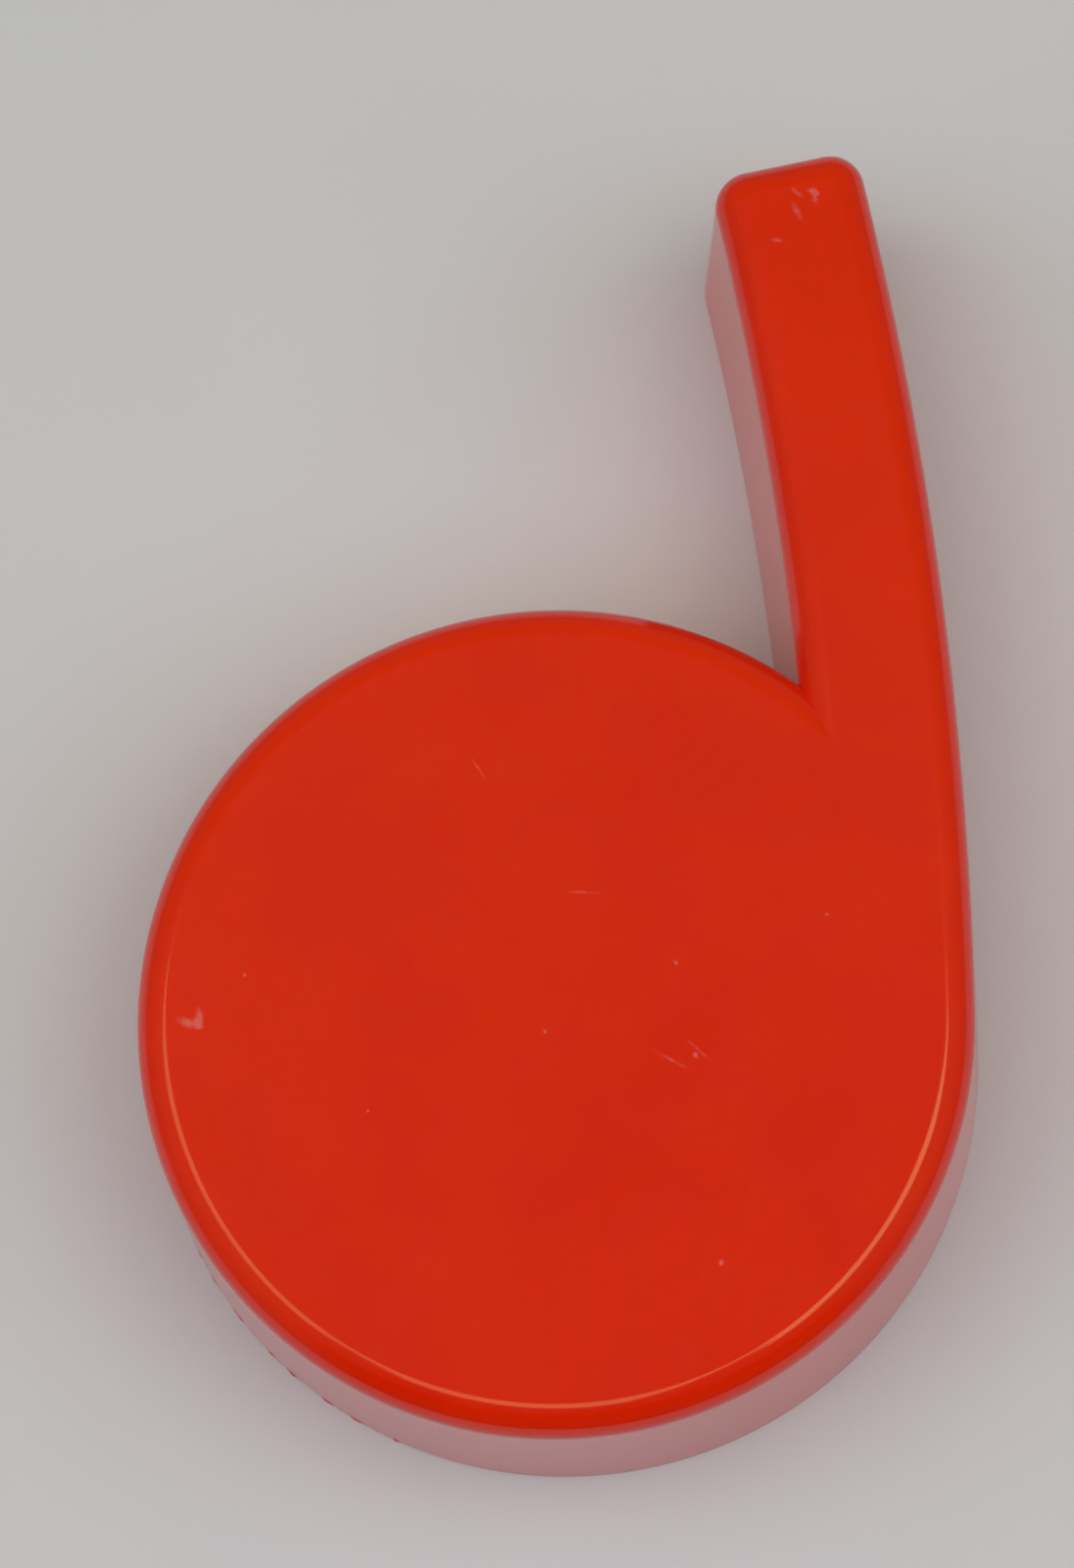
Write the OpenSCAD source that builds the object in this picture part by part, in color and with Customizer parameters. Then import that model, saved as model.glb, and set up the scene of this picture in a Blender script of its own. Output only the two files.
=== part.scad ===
// Curve block: a round disc with a curved stem that leaves it at a tangent. A one-piece moulded
// shell with drafted walls and a rounded top edge, closed underneath by an inset plate that is
// held by countersunk screws driven into bosses inside the shell.

/* [Body] */
// Radius of the disc where the body stands
disc_r = 31.45; // [29:0.05:34]
// Height of the body
body_h = 24; // [21:0.5:24.5]
// Lean of every outside wall, in degrees
draft = 2.7; // [2:0.1:2.8]
// Radius of the rounded top edge
edge_r = 2.45; // [1.5:0.05:2.45]

/* [Stem] */
// Width of the stem where the body stands
stem_w = 13.35; // [13:0.05:15]
// Radius of the stem's outer edge
stem_curve_r = 297.5; // [280:0.5:330]
// Angle on the disc at which the stem's outer edge leaves it, in degrees
stem_start = 1.2; // [0.5:0.05:2]
// Angle on the stem's own centre at which its end corners are centred, in degrees
stem_end = 13.44; // [12:0.01:15]
// Plan radius of the end corner on the outer side
outer_corner_r = 3.6; // [3.6:0.01:4]
// Plan radius of the end corner on the inner side, larger where the end is cut askew
inner_corner_r = 3.73; // [3.6:0.01:4.2]

/* [Shell] */
// Thickness of the side walls
wall = 2; // [1.6:0.1:2.2]
// Thickness of the top
top_wall = 2.2; // [1.6:0.1:3]
// Thickness of the rim left round the base plate
rim_wall = 1.1; // [0.8:0.1:1.2]

/* [Base plate] */
// Thickness of the base plate
plate_t = 2; // [1.6:0.1:2.5]
// How far the plate sits above the surface that the rim stands on
plate_recess = 0.3; // [0.1:0.1:0.6]
// Gap all round between the plate and the rim
plate_gap = 0.15; // [0.1:0.05:0.3]

/* [Screws and bosses] */
// Diameter of the screw shank
screw_d = 2.9; // [2.5:0.1:3]
// Diameter of the countersunk head
head_d = 5.5; // [5:0.1:5.8]
// Length of the screw from the head's face to its point
screw_l = 11; // [9:0.5:14]
// Outside diameter of each boss
boss_d = 6; // [5.5:0.1:6.5]
// Distance of the disc's bosses from its centre
boss_ring_r = 23.5; // [21:0.5:24]
// Number of bosses in the disc
disc_bosses = 3; // [3:1:5]
// Distance of the stem's boss from the centres of the end corners
stem_boss_back = 4; // [3:0.5:8]
// Thickness of the ribs that tie the bosses to the walls
rib_t = 1.2; // [1:0.1:1.6]
// How far the ribs stop short of the plate
rib_gap = 1; // [0.5:0.1:3]
// Arm width of the cross slot in a screw's head
slot_w = 0.8; // [0.6:0.1:1]
// Length of the cross slot's arms from end to end
slot_l = 3.2; // [2.6:0.1:3.6]
// Depth of the cross slot
slot_depth = 0.9; // [0.5:0.1:1.1]
// Length of a screw's point
tip_l = 1.6; // [1:0.1:2]
// Diameter of the blunt end of the point
tip_d = 0.6; // [0.4:0.1:1]

/* [Hidden] */
$fn = 128;
SKIN = [0.80, 0.13, 0.04];
PLATE = [0.60, 0.10, 0.04];
STEEL = [0.72, 0.72, 0.70];

eps = 0.01;
// Straight steps that make up the rounded top edge
edge_steps = 6;
// How far the end wall's straight part reaches back past the corners' centres
end_back = 1;
// How far the ribs reach into the top
rib_bite = 0.5;
lean = body_h * tan(draft);

// The parts of the outline overlap, and where their walls would touch they step by this much
seam = 0.02;

// The stem's two edges share one centre, which lies on the line through the disc's centre and
// the point where the outer edge leaves the disc
stem_centre = -(stem_curve_r - disc_r - seam) * [cos(stem_start), sin(stem_start)];
stem_mid_r = stem_curve_r - stem_w / 2;
end_dir = [cos(stem_end), sin(stem_end)];
outer_corner = stem_centre + (stem_curve_r - outer_corner_r) * end_dir;
inner_corner = stem_centre + (stem_curve_r - stem_w + inner_corner_r) * end_dir;
corner_span = norm(outer_corner - inner_corner);
end_skew = asin((inner_corner_r - outer_corner_r) / corner_span);
end_normal = stem_end + 90 - end_skew;
end_length = corner_span * cos(end_skew);

// The body stands with the middle of its outline over the origin
far_end = outer_corner[1] + outer_corner_r - seam;
shift = [0, (disc_r - far_end) / 2, 0];

ceiling = body_h - top_wall;
seat = plate_recess + plate_t;
bore_clearance = 0.05;
bore_depth = screw_l + 1;
sink_h = (head_d - screw_d) / 2;
// From the middle of a wall's thickness at half height, so that a rib ends inside the wall
rib_end_inset = wall / 2 + lean / 2;

stem_boss_angle = stem_end - stem_boss_back / stem_mid_r * 180 / PI;
stem_boss = stem_centre + stem_mid_r * [cos(stem_boss_angle), sin(stem_boss_angle)];
function disc_boss_angle(i) = 90 + i * 360 / disc_bosses;
BOSSES = concat(
    [for (i = [0 : disc_bosses - 1]) boss_ring_r * [cos(disc_boss_angle(i)), sin(disc_boss_angle(i))]],
    [stem_boss]
);

// Distance of a drafted wall from its axis at height z
function wall_at(foot, z) = foot - z * tan(draft);

// Half of a section: from x = -back out to a drafted wall, with a rounded top edge if round_r > 0
module half_section(foot, z0, z1, round_r = 0, back = 0) {
    steps = round_r > 0 ? edge_steps : 0;
    centre = [wall_at(foot, z1 - round_r) - round_r / cos(draft), z1 - round_r];
    edge = [for (i = [0 : steps]) let (a = draft + (90 - draft) * i / max(steps, 1))
        centre + round_r * [cos(a), sin(a)]];
    corner = [[wall_at(foot, z1), z1]];
    polygon(concat([[-back, z0], [wall_at(foot, z0), z0]], steps > 0 ? edge : corner, [[-back, z1]]));
}

// The whole outline as a solid from z0 to z1, with its walls moved in by inset
module outline_solid(inset, z0, z1, round_r = 0) {
    step_z1 = z1 - seam;
    rotate_extrude() half_section(disc_r - inset, z0, step_z1, round_r);
    translate(stem_centre) rotate([0, 0, stem_start]) rotate_extrude(angle = stem_end - stem_start)
        translate([stem_mid_r, 0]) union() {
            half_section(stem_w / 2 - inset, z0, z1, round_r);
            mirror([1, 0]) half_section(stem_w / 2 - inset, z0, z1, round_r);
        }
    translate(outer_corner) rotate_extrude()
        half_section(outer_corner_r - seam - inset, z0, step_z1, round_r);
    translate(inner_corner) rotate_extrude()
        half_section(inner_corner_r - seam - inset, z0, step_z1, round_r);
    translate(inner_corner) rotate([0, 0, end_normal]) rotate([90, 0, 0]) linear_extrude(end_length)
        half_section(inner_corner_r - 2 * seam - inset, z0, step_z1 - seam, round_r, end_back);
}

// Each disc boss has one rib out to the wall, and the stem's boss one right across the stem.
// The ribs stop short of the plate, so it seats on the bosses and the ledge
module bosses() {
    boss_h = ceiling + top_wall / 2 - seat;
    rib_z = seat + rib_gap;
    rib_h = ceiling + rib_bite - rib_z;
    for (at = BOSSES) translate([at[0], at[1], seat]) cylinder(h = boss_h, d = boss_d);
    for (i = [0 : disc_bosses - 1]) rotate([0, 0, disc_boss_angle(i)])
        translate([boss_ring_r + boss_d / 4, -rib_t / 2, rib_z])
        cube([disc_r - rib_end_inset - boss_ring_r - boss_d / 4, rib_t, rib_h]);
    translate(stem_centre) rotate([0, 0, stem_boss_angle])
        translate([stem_mid_r - stem_w / 2 + rib_end_inset, -rib_t / 2, rib_z])
        cube([stem_w - 2 * rib_end_inset, rib_t, rib_h]);
}

module shell() {
    color(SKIN) translate(shift) difference() {
        union() {
            difference() {
                outline_solid(0, 0, body_h, edge_r);
                outline_solid(wall, -eps, ceiling);
                outline_solid(rim_wall, -2 * eps, seat);
            }
            bosses();
        }
        for (at = BOSSES) translate([at[0], at[1], seat - eps])
            cylinder(h = bore_depth, d = screw_d + 2 * bore_clearance);
    }
}

module base_plate() {
    color(PLATE) translate(shift) difference() {
        outline_solid(rim_wall + plate_gap, plate_recess, seat);
        for (at = BOSSES) translate([at[0], at[1], plate_recess]) {
            translate([0, 0, -eps]) cylinder(h = plate_t + 2 * eps, d = screw_d + 2 * bore_clearance);
            translate([0, 0, -eps]) cylinder(h = sink_h + eps,
                d1 = head_d + 2 * bore_clearance + 2 * eps, d2 = screw_d + 2 * bore_clearance);
        }
    }
}

module screw() {
    difference() {
        union() {
            cylinder(h = sink_h, d1 = head_d, d2 = screw_d);
            translate([0, 0, sink_h - eps]) cylinder(h = screw_l - sink_h - tip_l + eps, d = screw_d);
            translate([0, 0, screw_l - tip_l]) cylinder(h = tip_l, d1 = screw_d, d2 = tip_d);
        }
        for (turn = [0, 90]) rotate([0, 0, turn]) translate([-slot_w / 2, -slot_l / 2, -eps])
            cube([slot_w, slot_l, slot_depth]);
    }
}

module base_screws() {
    color(STEEL) translate(shift)
        for (at = BOSSES) translate([at[0], at[1], plate_recess]) screw();
}

shell();
base_plate();
base_screws();
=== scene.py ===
"""Looks of the curve block: a glossy moulded shell, the plate that closes it underneath and its screws."""

import math
import random

import bmesh
import bpy
from mathutils import Matrix, Vector, noise


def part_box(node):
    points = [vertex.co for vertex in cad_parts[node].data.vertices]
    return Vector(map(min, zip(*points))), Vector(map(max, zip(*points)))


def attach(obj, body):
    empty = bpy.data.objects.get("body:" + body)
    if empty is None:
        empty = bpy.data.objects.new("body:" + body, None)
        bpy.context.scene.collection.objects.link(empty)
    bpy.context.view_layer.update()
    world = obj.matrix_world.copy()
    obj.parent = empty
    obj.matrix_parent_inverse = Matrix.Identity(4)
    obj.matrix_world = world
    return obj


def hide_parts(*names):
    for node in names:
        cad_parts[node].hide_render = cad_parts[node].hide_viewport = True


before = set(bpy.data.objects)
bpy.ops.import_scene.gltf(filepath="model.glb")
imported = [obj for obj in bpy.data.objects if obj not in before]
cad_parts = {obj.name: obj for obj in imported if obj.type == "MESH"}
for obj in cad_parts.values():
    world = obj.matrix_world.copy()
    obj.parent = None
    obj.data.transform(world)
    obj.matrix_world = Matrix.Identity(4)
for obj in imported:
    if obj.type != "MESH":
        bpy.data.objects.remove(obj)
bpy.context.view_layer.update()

MM = 0.001

# Where the CAD nodes are
SHELL_LOW, SHELL_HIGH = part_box("shell")
PLATE_LOW, PLATE_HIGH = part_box("base_plate")
SCREW_LOW, SCREW_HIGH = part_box("base_screws")

# The outline: a disc, and a stem between two arcs that share one centre
DISC_R = -SHELL_LOW.x
DISC_CENTRE = Vector((0, SHELL_LOW.y + DISC_R))
HEIGHT = SHELL_HIGH.z
DRAFT = math.radians(2.7)
EDGE_R = 2.45 * MM
STEM_W = 13.35 * MM
STEM_OUTER_R = 297.5 * MM
STEM_INNER_R = STEM_OUTER_R - STEM_W
STEM_START = math.radians(1.2)
STEM_END = math.radians(13.44)
OUTER_CORNER_R = 3.6 * MM
INNER_CORNER_R = 3.73 * MM

# The shell's thickness, and the rebate that takes the plate
WALL = 2 * MM
TOP_WALL = 2.2 * MM
RIM_WALL = 1.1 * MM
CEILING = HEIGHT - TOP_WALL
SEAT = PLATE_HIGH.z
PLATE_GAP = 0.15 * MM

# Bosses and the ribs that tie them to the walls
BOSS_D = 6 * MM
BOSS_RING_R = 23.5 * MM
DISC_BOSSES = 3
STEM_BOSS_BACK = 4 * MM
RIB_T = 1.2 * MM
RIB_LOW = SEAT + 1 * MM

# Screws
SCREW_D = 2.9 * MM
SCREW_ROOT_D = 2.2 * MM
HEAD_D = 5.5 * MM
SCREW_L = SCREW_HIGH.z - SCREW_LOW.z
SINK_H = (HEAD_D - SCREW_D) / 2
TIP_L = 1.6 * MM
TIP_SCALE = 0.2
THREAD_PITCH = 1.1 * MM
CLEARANCE = 0.05 * MM
BORE_D = SCREW_D + 2 * CLEARANCE
BORE_DEPTH = SCREW_L + 1 * MM
RECESS_W = 0.8 * MM
RECESS_L = 3.2 * MM
RECESS_DEPTH = 0.9 * MM

# Steps on the outline's stretches, clockwise from the notch
INNER_STEPS = 48
CORNER_STEPS = 20
END_STEPS = 8
OUTER_STEPS = 72
RIGHT_STEPS = 96
RAGGED_STEPS = 260
LEFT_STEPS = 120

SMOOTH_ANGLE = math.radians(30)

# Scraps of moulding flash on one stretch of the foot of the disc's wall
RAGGED_FROM = math.radians(200)
RAGGED_TO = math.radians(250)
FLASH_SEED = 3
FLASH_SCRAPS = 9
FLASH_HALF_WIDTHS = (math.radians(0.6), math.radians(1.8))
FLASH_REACHES = (0.12 * MM, 0.26 * MM)
FLASH_H = 0.25 * MM

# Scuffs on the top
SCUFF_SEED = 5


def polar(centre, radius, angle):
    return centre + radius * Vector((math.cos(angle), math.sin(angle)))


def angle_from(centre, point):
    return math.atan2(point.y - centre.y, point.x - centre.x)


STEM_CENTRE = polar(DISC_CENTRE, -(STEM_OUTER_R - DISC_R), STEM_START)
STEM_MIDDLE_R = STEM_OUTER_R - STEM_W / 2
OUTER_CORNER = polar(STEM_CENTRE, STEM_OUTER_R - OUTER_CORNER_R, STEM_END)
INNER_CORNER = polar(STEM_CENTRE, STEM_INNER_R + INNER_CORNER_R, STEM_END)
CORNER_SPAN = (OUTER_CORNER - INNER_CORNER).length
END_NORMAL = STEM_END + math.pi / 2 - math.asin((INNER_CORNER_R - OUTER_CORNER_R) / CORNER_SPAN)

DISC_BOSS_ANGLES = [math.pi / 2 + 2 * math.pi * i / DISC_BOSSES for i in range(DISC_BOSSES)]
STEM_BOSS_ANGLE = STEM_END - STEM_BOSS_BACK / STEM_MIDDLE_R
STEM_BOSS = polar(STEM_CENTRE, STEM_MIDDLE_R, STEM_BOSS_ANGLE)
BOSSES = [polar(DISC_CENTRE, BOSS_RING_R, a) for a in DISC_BOSS_ANGLES] + [STEM_BOSS]


# ---------------------------------------------------------------- outline

def notch(inset):
    """The point where the disc's edge meets the stem's inner edge, with both moved in by inset."""
    disc_r = DISC_R - inset
    stem_r = STEM_INNER_R + inset
    towards = STEM_CENTRE - DISC_CENTRE
    span = towards.length
    unit = towards / span
    along = (disc_r ** 2 - stem_r ** 2 + span ** 2) / (2 * span)
    across = math.sqrt(disc_r ** 2 - along ** 2)
    return DISC_CENTRE + along * unit + across * Vector((unit.y, -unit.x))


def arc(centre, radius, start, stop, steps):
    """Points on a round stretch, without its last one."""
    return [polar(centre, radius, start + (stop - start) * i / steps) for i in range(steps)]


def outline(inset):
    """The block's outline moved in by inset, clockwise from the notch. Every inset has as many points."""
    corner = notch(inset)
    turn = 2 * math.pi
    disc_r = DISC_R - inset
    inner_r = INNER_CORNER_R - inset
    outer_r = OUTER_CORNER_R - inset
    end_from = polar(INNER_CORNER, inner_r, END_NORMAL)
    end_to = polar(OUTER_CORNER, outer_r, END_NORMAL)
    points = arc(STEM_CENTRE, STEM_INNER_R + inset, angle_from(STEM_CENTRE, corner), STEM_END,
                 INNER_STEPS)
    points += arc(INNER_CORNER, inner_r, STEM_END + math.pi, END_NORMAL, CORNER_STEPS)
    points += [end_from.lerp(end_to, i / END_STEPS) for i in range(END_STEPS)]
    points += arc(OUTER_CORNER, outer_r, END_NORMAL, STEM_END, CORNER_STEPS)
    points += arc(STEM_CENTRE, STEM_OUTER_R - inset, STEM_END, STEM_START, OUTER_STEPS)
    points += arc(DISC_CENTRE, disc_r, STEM_START, RAGGED_TO - turn, RIGHT_STEPS)
    points += arc(DISC_CENTRE, disc_r, RAGGED_TO - turn, RAGGED_FROM - turn, RAGGED_STEPS)
    points += arc(DISC_CENTRE, disc_r, RAGGED_FROM - turn, angle_from(DISC_CENTRE, corner) - turn,
                  LEFT_STEPS)
    return points


def wall_inset(foot, z):
    return foot + z * math.tan(DRAFT)


# ---------------------------------------------------------------- mesh helpers

def ring_at(points, z):
    return [(p.x, p.y, z) for p in points]


def circle(centre, radius, z, steps=48):
    return ring_at(arc(centre, radius, 0, -2 * math.pi, steps), z)


def stack(bm, rings):
    """A closed solid from rings with equal counts of points: quads between them and a face on each end."""
    loops = [[bm.verts.new(point) for point in ring] for ring in rings]
    count = len(loops[0])
    for below, above in zip(loops, loops[1:]):
        for i in range(count):
            j = (i + 1) % count
            bm.faces.new((below[i], above[i], above[j], below[j]))
    bm.faces.new(loops[0])
    bm.faces.new(loops[-1])


def new_object(name, bm):
    mesh = bpy.data.meshes.new(name)
    bmesh.ops.recalc_face_normals(bm, faces=bm.faces)
    bm.to_mesh(mesh)
    bm.free()
    obj = bpy.data.objects.new(name, mesh)
    bpy.context.scene.collection.objects.link(obj)
    mesh.shade_smooth()
    mesh.set_sharp_from_angle(angle=SMOOTH_ANGLE)
    return obj


def solid(name, rings):
    bm = bmesh.new()
    stack(bm, rings)
    return new_object(name, bm)


def apply_modifiers(obj):
    depsgraph = bpy.context.evaluated_depsgraph_get()
    mesh = bpy.data.meshes.new_from_object(obj.evaluated_get(depsgraph))
    obj.modifiers.clear()
    obj.data = mesh


def combine(obj, operation, tools):
    """Adds the tools to the object or cuts them from it, and takes them out of the scene."""
    group = bpy.data.collections.new("tools")
    for tool in tools:
        group.objects.link(tool)
    modifier = obj.modifiers.new("combine", "BOOLEAN")
    modifier.operation = operation
    modifier.solver = "EXACT"
    modifier.operand_type = "COLLECTION"
    modifier.collection = group
    apply_modifiers(obj)
    for tool in tools:
        bpy.data.objects.remove(tool)
    bpy.data.collections.remove(group)
    obj.data.shade_smooth()
    obj.data.set_sharp_from_angle(angle=SMOOTH_ANGLE)


def weigh_normals(obj):
    """Flat faces stay flat right up to the rounded edges beside them."""
    modifier = obj.modifiers.new("normals", "WEIGHTED_NORMAL")
    modifier.keep_sharp = True
    apply_modifiers(obj)


# ---------------------------------------------------------------- shell

def skin_profile():
    """(inset, z) from the foot of the wall up and over the rounded edge to the flat top."""
    foot_r = 0.12 * MM
    foot_bevel = 0.3 * foot_r
    wall_steps = 14
    edge_steps = 16
    edge_z = HEIGHT - EDGE_R
    tangent_z = edge_z + EDGE_R * math.sin(DRAFT)
    flash_z = [0.55 * FLASH_H, FLASH_H]
    profile = [(foot_r, 0), (foot_bevel, foot_bevel), (wall_inset(0, foot_r), foot_r)]
    profile += [(wall_inset(0, z), z) for z in flash_z]
    for i in range(1, wall_steps):
        z = tangent_z * i / wall_steps
        profile.append((wall_inset(0, z), z))
    centre = wall_inset(0, edge_z) + EDGE_R / math.cos(DRAFT)
    for i in range(edge_steps + 1):
        a = DRAFT + (math.pi / 2 - DRAFT) * i / edge_steps
        profile.append((centre - EDGE_R * math.cos(a), edge_z + EDGE_R * math.sin(a)))
    return profile


def cavity_profile():
    """(inset, z) from the ceiling down to the ledge, out over it and down to the rim's underside."""
    ledge_edge = 0.15 * MM
    middle = (SEAT + CEILING) / 2
    return [
        (wall_inset(WALL, CEILING), CEILING),
        (wall_inset(WALL, middle), middle),
        (wall_inset(WALL, SEAT), SEAT),
        (wall_inset(RIM_WALL, SEAT), SEAT),
        (wall_inset(RIM_WALL, ledge_edge), ledge_edge),
        (RIM_WALL - ledge_edge, 0),
    ]


def make_flash():
    """(middle, half width, reach) of the scraps of flash, one in each equal part of the ragged stretch."""
    draw = random.Random(FLASH_SEED)
    part = (RAGGED_TO - RAGGED_FROM) / FLASH_SCRAPS
    scraps = []
    for i in range(FLASH_SCRAPS):
        middle = RAGGED_FROM + part * (i + draw.uniform(0.3, 0.7))
        scraps.append((middle, draw.uniform(*FLASH_HALF_WIDTHS), draw.uniform(*FLASH_REACHES)))
    return scraps


FLASH = make_flash()


def flash_at(point):
    """How far the flash stands out at a point of the outline."""
    angle = angle_from(DISC_CENTRE, point) % (2 * math.pi)
    if not RAGGED_FROM < angle < RAGGED_TO:
        return 0
    ramp = math.radians(4)
    crumb, crumb_scale = 0.06 * MM, 70
    fade = min(1, (angle - RAGGED_FROM) / ramp, (RAGGED_TO - angle) / ramp)
    ragged = crumb * fade * noise.noise(Vector((angle * crumb_scale, 0, 0)))
    for middle, half, reach in FLASH:
        off = (angle - middle) / half
        if abs(off) < 1:
            ragged += reach * (1 - off) / 2 * math.sqrt(1 - abs(off))
    return ragged


def skin_ring(inset, z):
    """A ring of the skin, with the flash on its foot."""
    share = max(0, 1 - z / FLASH_H)
    points = []
    for point in outline(inset):
        outwards = (point - DISC_CENTRE).normalized()
        points.append(point + outwards * flash_at(point) * share if share else point)
    return ring_at(points, z)


def make_bosses():
    """Bored bosses under the top, and the ribs between them and the walls."""
    top = CEILING + TOP_WALL / 2
    lead = 0.25 * MM
    tubes = []
    for at in BOSSES:
        tubes.append(solid("boss", [
            circle(at, BORE_D / 2, SEAT + BORE_DEPTH),
            circle(at, BORE_D / 2, SEAT + lead),
            circle(at, BORE_D / 2 + lead, SEAT),
            circle(at, BOSS_D / 2, SEAT),
            circle(at, BOSS_D / 2, top),
        ]))
    ribs = []
    reach = wall_inset(WALL / 2, HEIGHT / 2)
    for angle in DISC_BOSS_ANGLES:
        ribs.append(make_rib(DISC_CENTRE, angle, BOSS_RING_R, DISC_R - reach))
    ribs.append(make_rib(STEM_CENTRE, STEM_BOSS_ANGLE, STEM_MIDDLE_R, STEM_OUTER_R - reach))
    ribs.append(make_rib(STEM_CENTRE, STEM_BOSS_ANGLE, STEM_MIDDLE_R, STEM_INNER_R + reach))
    return tubes + ribs


def make_rib(centre, angle, boss_r, wall_r):
    """A rib along a ray from centre, from inside a boss's wall to inside the shell's wall."""
    bite = 0.5 * MM
    side = RIB_T / 2 * Vector((-math.sin(angle), math.cos(angle)))
    start = boss_r + math.copysign(BOSS_D / 2 - bite, wall_r - boss_r)
    near, far = polar(centre, start, angle), polar(centre, wall_r, angle)
    corners = [near - side, near + side, far + side, far - side]
    return solid("rib", [ring_at(corners, RIB_LOW), ring_at(corners, CEILING + bite)])


def make_shell():
    rings = [ring_at(outline(inset), z) for inset, z in cavity_profile()]
    rings += [skin_ring(inset, z) for inset, z in skin_profile()]
    shell = solid("curve_shell", rings)
    combine(shell, "UNION", make_bosses())
    weigh_normals(shell)
    return shell


# ---------------------------------------------------------------- base plate and screws

def make_plate():
    """The plate that fills the rebate, with an eased edge and a countersunk hole at each boss."""
    ease = 0.2 * MM
    edge = RIM_WALL + PLATE_GAP
    low, high = PLATE_LOW.z, PLATE_HIGH.z
    bevel = 0.3 * ease
    profile = [(ease, low), (bevel, low + bevel), (0, low + ease), (0, high - ease / 2), (ease / 2, high)]
    rings = [ring_at(outline(wall_inset(edge, z) + inset), z) for inset, z in profile]
    plate = solid("base_plate_panel", rings)
    over = 0.1 * MM
    holes = []
    for at in BOSSES:
        holes.append(solid("hole", [
            circle(at, HEAD_D / 2 + CLEARANCE + over, low - over),
            circle(at, BORE_D / 2, low + SINK_H),
            circle(at, BORE_D / 2, high + over),
        ]))
    combine(plate, "DIFFERENCE", holes)
    weigh_normals(plate)
    return plate


def screw_radius(z, angle):
    """Distance of the thread's surface from the screw's axis, at height z above the head's face."""
    crest_share = 0.32
    phase = (z / THREAD_PITCH + angle / (2 * math.pi)) % 1
    crest = max(0, 1 - abs(phase - 0.5) / crest_share)
    run_in = min(1, max(0, (z - SINK_H) / THREAD_PITCH))
    radius = SCREW_ROOT_D / 2 + (SCREW_D - SCREW_ROOT_D) / 2 * (crest * run_in + 1 - run_in)
    to_tip = min(1, (SCREW_L - z) / TIP_L)
    return radius * (TIP_SCALE + (1 - TIP_SCALE) * to_tip)


def thread_ring(z, steps):
    angles = [-2 * math.pi * i / steps for i in range(steps)]
    return ring_at([polar(Vector((0, 0)), screw_radius(z, a), a) for a in angles], z)


def recess_arm(along):
    """One arm of the cross recess, which narrows towards its floor."""
    over = 0.05 * MM
    mouth, floor = 1.03, 0.55
    rings = []
    for scale, z in [(mouth, -over), (floor, RECESS_DEPTH)]:
        half = along * RECESS_L / 2 * scale
        side = Vector((-along.y, along.x)) * RECESS_W / 2 * scale
        rings.append(ring_at([half + side, half - side, -half - side, -half + side], z))
    return solid("recess", rings)


def make_screw():
    """One screw, with its head's face at z = 0 and its point up."""
    steps = 40
    centre = Vector((0, 0))
    ease = 0.08 * MM
    head = [(ease, 0), (ease / 4, ease / 2), (1.5 * ease, 1.5 * ease)]
    rings = [circle(centre, HEAD_D / 2 - inset, z, steps) for inset, z in head]
    thread_step = THREAD_PITCH / 10
    count = int((SCREW_L - SINK_H) / thread_step)
    rings += [thread_ring(SINK_H + (SCREW_L - SINK_H) * i / count, steps) for i in range(count + 1)]
    screw = solid("screw", rings)
    combine(screw, "DIFFERENCE", [recess_arm(Vector((1, 0))), recess_arm(Vector((0, 1)))])
    return screw


def make_screws():
    """All four screws as one piece, each driven to its own turn."""
    first_turn, next_turn = 0.35, 1.1
    pattern = make_screw()
    bm = bmesh.new()
    for i, at in enumerate(BOSSES):
        start = len(bm.verts)
        bm.from_mesh(pattern.data)
        bm.verts.ensure_lookup_table()
        turn = Matrix.Rotation(first_turn + next_turn * i, 4, "Z")
        place = Matrix.Translation((at.x, at.y, SCREW_LOW.z)) @ turn
        bmesh.ops.transform(bm, matrix=place, verts=bm.verts[start:])
    bpy.data.objects.remove(pattern)
    return new_object("base_screw_set", bm)


# ---------------------------------------------------------------- materials

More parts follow.
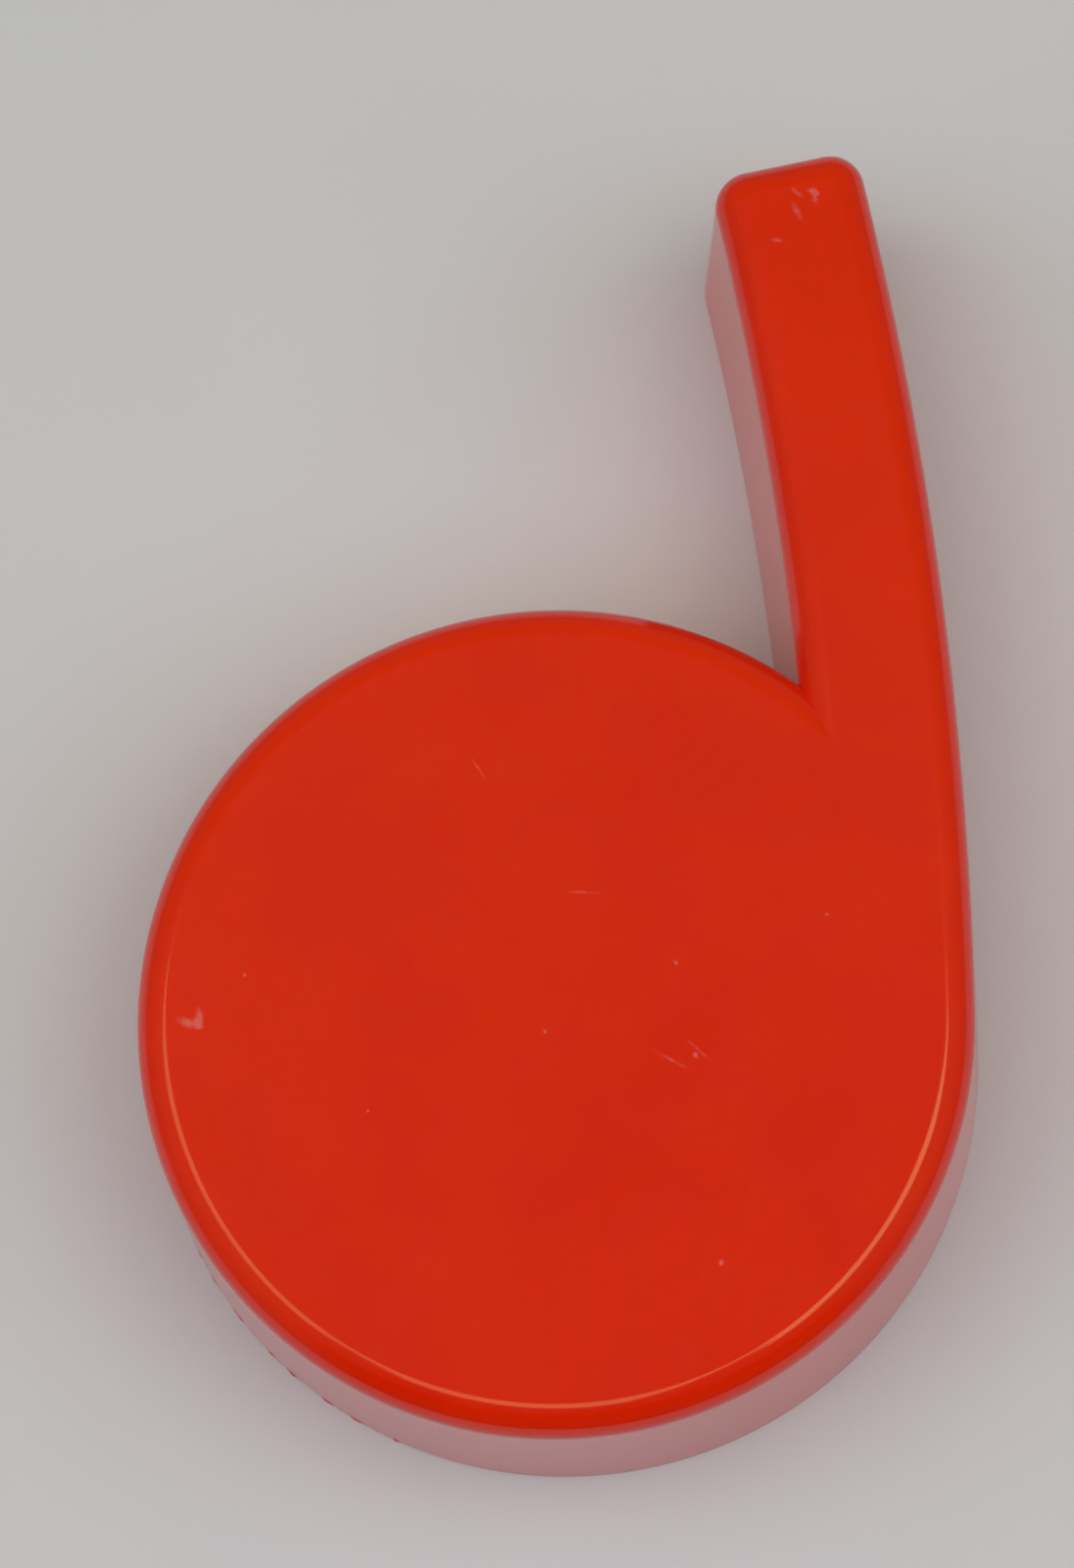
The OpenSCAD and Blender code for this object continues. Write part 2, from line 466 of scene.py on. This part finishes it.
class Nodes:
    """A material's node tree, with short calls for the nodes that the materials here are made of."""

    def __init__(self, name):
        self.material = bpy.data.materials.new(name)
        self.material.use_nodes = True
        self.tree = self.material.node_tree
        self.shader = self.tree.nodes["Principled BSDF"]
        self.place = self.tree.nodes.new("ShaderNodeTexCoord").outputs["Object"]

    def link(self, value, socket):
        if isinstance(value, bpy.types.NodeSocket):
            self.tree.links.new(value, socket)
        else:
            socket.default_value = value

    def noise(self, scale, detail=2, place=None):
        node = self.tree.nodes.new("ShaderNodeTexNoise")
        self.link(place or self.place, node.inputs["Vector"])
        node.inputs["Scale"].default_value = scale
        node.inputs["Detail"].default_value = detail
        return node.outputs["Fac"]

    def mapping(self, location=(0, 0, 0), turn=(0, 0, 0), scale=(1, 1, 1)):
        """The place as seen from a frame that is at location, turned and scaled."""
        node = self.tree.nodes.new("ShaderNodeMapping")
        node.vector_type = "TEXTURE"
        self.link(self.place, node.inputs["Vector"])
        node.inputs["Location"].default_value = location
        node.inputs["Rotation"].default_value = turn
        node.inputs["Scale"].default_value = scale
        return node.outputs["Vector"]

    def blob(self, vector):
        node = self.tree.nodes.new("ShaderNodeTexGradient")
        node.gradient_type = "SPHERICAL"
        self.link(vector, node.inputs["Vector"])
        return node.outputs["Fac"]

    def math(self, operation, a, b=0.0):
        node = self.tree.nodes.new("ShaderNodeMath")
        node.operation = operation
        self.link(a, node.inputs[0])
        self.link(b, node.inputs[1])
        return node.outputs["Value"]

    def spread(self, value, low, high, to_low=0.0, to_high=1.0):
        """value from low to high, taken smoothly to to_low to to_high."""
        node = self.tree.nodes.new("ShaderNodeMapRange")
        node.interpolation_type = "SMOOTHSTEP"
        self.link(value, node.inputs["Value"])
        for name, number in zip(("From Min", "From Max", "To Min", "To Max"), (low, high, to_low, to_high)):
            node.inputs[name].default_value = number
        return node.outputs["Result"]

    def mix(self, share, a, b):
        node = self.tree.nodes.new("ShaderNodeMix")
        node.data_type = "RGBA"
        self.link(share, node.inputs["Factor"])
        self.link(a, node.inputs["A"])
        self.link(b, node.inputs["B"])
        return node.outputs["Result"]

    def bump(self, height, distance, under=None):
        node = self.tree.nodes.new("ShaderNodeBump")
        node.inputs["Distance"].default_value = distance
        self.link(height, node.inputs["Height"])
        if under:
            self.link(under, node.inputs["Normal"])
        return node.outputs["Normal"]

    def finish(self, color, roughness, normal):
        self.link(color, self.shader.inputs["Base Color"])
        self.link(roughness, self.shader.inputs["Roughness"])
        self.link(normal, self.shader.inputs["Normal"])
        return self.material


def scuff_groups():
    """(centre, spread, count, half length, half width, strength) of each group of scuffs on the top."""
    left_side = polar(DISC_CENTRE, 0.84 * DISC_R, math.pi)
    stem_tip = polar(STEM_CENTRE, STEM_MIDDLE_R, STEM_END - 2 * MM / STEM_MIDDLE_R)
    return [
        (left_side, 1 * MM, 2, 1.2 * MM, 0.5 * MM, 0.85),
        (stem_tip, 2.5 * MM, 5, 1.1 * MM, 0.4 * MM, 0.7),
        (DISC_CENTRE, 20 * MM, 4, 2.2 * MM, 0.2 * MM, 0.55),
        (DISC_CENTRE, 25 * MM, 7, 0.4 * MM, 0.28 * MM, 0.8),
    ]


def scuff_mask(nodes):
    """How scuffed the top is, from 0 to 1. Scuffs lie anywhere in their group, all slanting one way."""
    draw = random.Random(SCUFF_SEED)
    depth = 0.5 * MM
    patchy, cut_off = 0.6, 0.3
    total = 0.0
    for centre, spread, count, length, width, strength in scuff_groups():
        for _ in range(count):
            at = polar(centre, spread * math.sqrt(draw.random()), draw.uniform(0, 2 * math.pi))
            turn = draw.uniform(-math.pi / 2, 0)
            scale = draw.uniform(0.8, 1.2)
            size = (length * scale, width * scale, depth)
            blob = nodes.blob(nodes.mapping((at.x, at.y, HEIGHT), (0, 0, turn), size))
            total = add_scaled(nodes, blob, strength, total)
    ragged = add_scaled(nodes, nodes.noise(2600, 3), patchy, nodes.math("SUBTRACT", total, cut_off))
    return nodes.math("MULTIPLY", nodes.spread(ragged, 0.1, 1.0), nodes.spread(total, 0.0, 0.4))


def add_scaled(nodes, value, factor, total):
    return nodes.math("ADD", nodes.math("MULTIPLY", value, factor), total)


def scratch_mask(nodes):
    """Hairline scratches in three directions."""
    streak = (12 * MM, 0.25 * MM, 12 * MM)
    total = 0.0
    for turn in (0.3, 1.4, 2.5):
        streaks = nodes.noise(1, 2, nodes.mapping(turn=(0, 0, turn), scale=streak))
        total = add_scaled(nodes, nodes.spread(streaks, 0.70, 0.80), 1.0, total)
    return nodes.math("MINIMUM", total, 1.0)


def shell_plastic():
    """Glossy moulded plastic with a faint ripple, cloudy colour, hairlines and a few pale scuffs."""
    nodes = Nodes("shell_plastic")
    nodes.shader.inputs["IOR"].default_value = 1.55
    cloud = nodes.spread(nodes.noise(110, 3), 0.35, 0.65)
    grain = nodes.spread(nodes.noise(900, 2), 0.3, 0.7)
    scuffs = scuff_mask(nodes)
    scratches = scratch_mask(nodes)
    color = nodes.mix(cloud, (0.800, 0.0195, 0.0006, 1), (0.772, 0.0165, 0.0003, 1))
    color = nodes.mix(nodes.math("MULTIPLY", grain, 0.25), color, (0.74, 0.0150, 0.0003, 1))
    color = nodes.mix(nodes.math("MULTIPLY", scratches, 0.03), color, (0.88, 0.08, 0.03, 1))
    color = nodes.mix(nodes.math("MULTIPLY", scuffs, 0.55), color, (0.74, 0.15, 0.12, 1))
    roughness = add_scaled(nodes, nodes.noise(300, 2), 0.04, 0.08)
    roughness = add_scaled(nodes, scratches, 0.04, roughness)
    roughness = add_scaled(nodes, scuffs, 0.35, roughness)
    ripple = nodes.bump(nodes.noise(260, 2), 0.006 * MM)
    fine = nodes.bump(nodes.noise(2600, 2), 0.0006 * MM, ripple)
    cuts = add_scaled(nodes, scratches, 0.25, scuffs)
    scored = nodes.bump(nodes.math("SUBTRACT", 1.0, cuts), 0.003 * MM, fine)
    return nodes.finish(color, roughness, scored)


def plate_plastic():
    """Plastic with a fine matt moulded texture, rubbed smoother in places."""
    nodes = Nodes("plate_plastic")
    nodes.shader.inputs["IOR"].default_value = 1.5
    cloud = nodes.spread(nodes.noise(90, 3), 0.35, 0.65)
    rubbed = nodes.spread(nodes.noise(45, 4), 0.55, 0.75)
    scratches = scratch_mask(nodes)
    color = nodes.mix(cloud, (0.62, 0.026, 0.006, 1), (0.56, 0.020, 0.004, 1))
    color = nodes.mix(nodes.math("MULTIPLY", scratches, 0.35), color, (0.72, 0.12, 0.08, 1))
    roughness = add_scaled(nodes, rubbed, -0.12, 0.52)
    texture = nodes.bump(nodes.noise(3200, 3), 0.03 * MM)
    scored = nodes.bump(nodes.math("SUBTRACT", 1.0, scratches), 0.01 * MM, texture)
    return nodes.finish(color, roughness, scored)


def zinc_steel():
    """Zinc-plated steel, a little cloudy, with scraped spots."""
    nodes = Nodes("zinc_steel")
    nodes.shader.inputs["Metallic"].default_value = 1.0
    cloud = nodes.noise(700, 4)
    scraped = nodes.spread(nodes.noise(1500, 3), 0.55, 0.7)
    color = nodes.mix(cloud, (0.60, 0.60, 0.58, 1), (0.70, 0.68, 0.62, 1))
    color = nodes.mix(scraped, color, (0.52, 0.52, 0.53, 1))
    roughness = add_scaled(nodes, cloud, 0.22, add_scaled(nodes, scraped, 0.12, 0.2))
    return nodes.finish(color, roughness, nodes.bump(nodes.noise(5000, 2), 0.006 * MM))


def paper():
    """Pale paper with faint fibres."""
    nodes = Nodes("floor_paper")
    nodes.shader.inputs["Specular IOR Level"].default_value = 0.1
    color = nodes.mix(nodes.noise(60, 3), (0.655, 0.655, 0.660, 1), (0.675, 0.670, 0.670, 1))
    return nodes.finish(color, 0.9, nodes.bump(nodes.noise(2000, 3), 0.02 * MM))


# ---------------------------------------------------------------- stage

def make_floor():
    bm = bmesh.new()
    bmesh.ops.create_grid(bm, x_segments=8, y_segments=8, size=1.5)
    floor = new_object("floor", bm)
    floor.location.z = -0.02 * MM
    floor.data.materials.append(paper())


def make_world():
    """A dim room: warm overhead with one dark sector, where the camera stands, and pale towards the horizon.

    The camera itself sees an even pale backdrop.
    """
    room, horizon, backdrop = 0.22, 0.2, 0.8
    warm, pale, white = (1, 0.88, 0.25, 1), (1, 0.92, 0.6, 1), (1, 1, 1, 1)
    sector_from, sector_to = math.radians(235), math.radians(318)
    dark_edge, lit_edge = -0.01, 0.212
    low_sky, high_sky = 0.3, 0.65
    world = bpy.data.worlds.new("studio")
    bpy.context.scene.world = world
    world.use_nodes = True
    nodes, links = world.node_tree.nodes, world.node_tree.links
    direction = nodes.new("ShaderNodeTexCoord").outputs["Generated"]
    is_camera = nodes.new("ShaderNodeLightPath").outputs["Is Camera Ray"]

    def along(axis):
        node = nodes.new("ShaderNodeVectorMath")
        node.operation = "DOT_PRODUCT"
        links.new(direction, node.inputs[0])
        node.inputs[1].default_value = axis
        return node.outputs["Value"]

    def spread(value, *limits):
        node = nodes.new("ShaderNodeMapRange")
        links.new(value, node.inputs["Value"])
        for name, number in zip(("From Min", "From Max", "To Min", "To Max"), limits):
            node.inputs[name].default_value = number
        return node.outputs["Result"]

    def mix(kind, share, a, b):
        node = nodes.new("ShaderNodeMix")
        node.data_type = kind
        links.new(share, node.inputs[0])
        sockets = [socket for socket in node.inputs if socket.enabled and socket.name in ("A", "B")]
        for value, socket in zip((a, b), sockets):
            if isinstance(value, bpy.types.NodeSocket):
                links.new(value, socket)
            else:
                socket.default_value = value
        return [socket for socket in node.outputs if socket.enabled][0]

    either = nodes.new("ShaderNodeMath")
    either.operation = "MAXIMUM"
    links.new(along((math.sin(sector_from), -math.cos(sector_from), 0)), either.inputs[0])
    links.new(along((-math.sin(sector_to), math.cos(sector_to), 0)), either.inputs[1])
    overhead = spread(either.outputs["Value"], dark_edge, lit_edge, 0, room)
    level = spread(either.outputs["Value"], dark_edge, lit_edge, horizon / 4, horizon)
    high = spread(along((0, 0, 1)), low_sky, high_sky, 0, 1)
    strength = mix("FLOAT", is_camera, mix("FLOAT", high, level, overhead), backdrop)
    color = mix("RGBA", is_camera, mix("RGBA", high, pale, warm), white)
    links.new(strength, nodes["Background"].inputs["Strength"])
    links.new(color, nodes["Background"].inputs["Color"])


def add_lamp(name, place, size, radiance, color, turn=0.0, in_gloss=True):
    """A soft lamp that shines straight down."""
    data = bpy.data.lights.new(name, "AREA")
    data.shape = "RECTANGLE"
    data.size, data.size_y = size
    data.color = color
    data.energy = radiance * math.pi * size[0] * size[1]
    lamp = bpy.data.objects.new(name, data)
    lamp.location = place
    lamp.rotation_euler = (0, 0, turn)
    lamp.visible_glossy = in_gloss
    lamp.visible_camera = False
    bpy.context.scene.collection.objects.link(lamp)


def make_lamps():
    """A wide soft ceiling, and three soft lamps that draw the highlight round the disc's edge."""
    add_lamp("ceiling", (0.06, -0.14, 0.8), (2.6, 0.8), 1.3, (0.94, 1.01, 1.27), in_gloss=False)
    lamp_z = 0.6
    width = 0.145
    warm = (1.0, 0.86, 0.38)
    for name, start, stop, radiance in [
        ("left", (-0.26, 0.07), (-0.13, -0.09), 1.75),
        ("front", (-0.10, -0.09), (0.05, -0.13), 1.9),
        ("right", (0.09, -0.10), (0.27, 0.04), 2.7),
    ]:
        start, stop = Vector(start), Vector(stop)
        middle = (start + stop) / 2
        along = stop - start
        turn = math.atan2(along.y, along.x)
        add_lamp(name, (middle.x, middle.y, lamp_z), (along.length, width), radiance, warm, turn)


def make_camera():
    data = bpy.data.cameras.new("camera")
    data.sensor_fit = "VERTICAL"
    data.sensor_height = 24
    data.lens = 82.283
    camera = bpy.data.objects.new("camera", data)
    place = Vector((0.015257, -0.078717, 0.406893))
    target = Vector((-0.002471, 0.004377, 0))
    roll = math.radians(0.69)
    forward = (target - place).normalized()
    level = forward.cross(Vector((0, 1, 0))).normalized()
    right = level * math.cos(roll) + level.cross(forward) * math.sin(roll)
    up = right.cross(forward)
    axes = Matrix((right, up, -forward)).transposed()
    camera.matrix_world = Matrix.Translation(place) @ axes.to_4x4()
    bpy.context.scene.collection.objects.link(camera)
    bpy.context.scene.camera = camera


def dress(piece, node, material):
    """Gives a piece its material and puts it in the place of its CAD node."""
    piece.data.materials.clear()
    piece.data.materials.append(material)
    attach(piece, "root")
    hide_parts(node)


def main():
    bpy.context.scene.view_settings.view_transform = "Standard"
    make_camera()
    make_world()
    make_lamps()
    make_floor()
    dress(make_shell(), "shell", shell_plastic())
    dress(make_plate(), "base_plate", plate_plastic())
    dress(make_screws(), "base_screws", zinc_steel())


main()
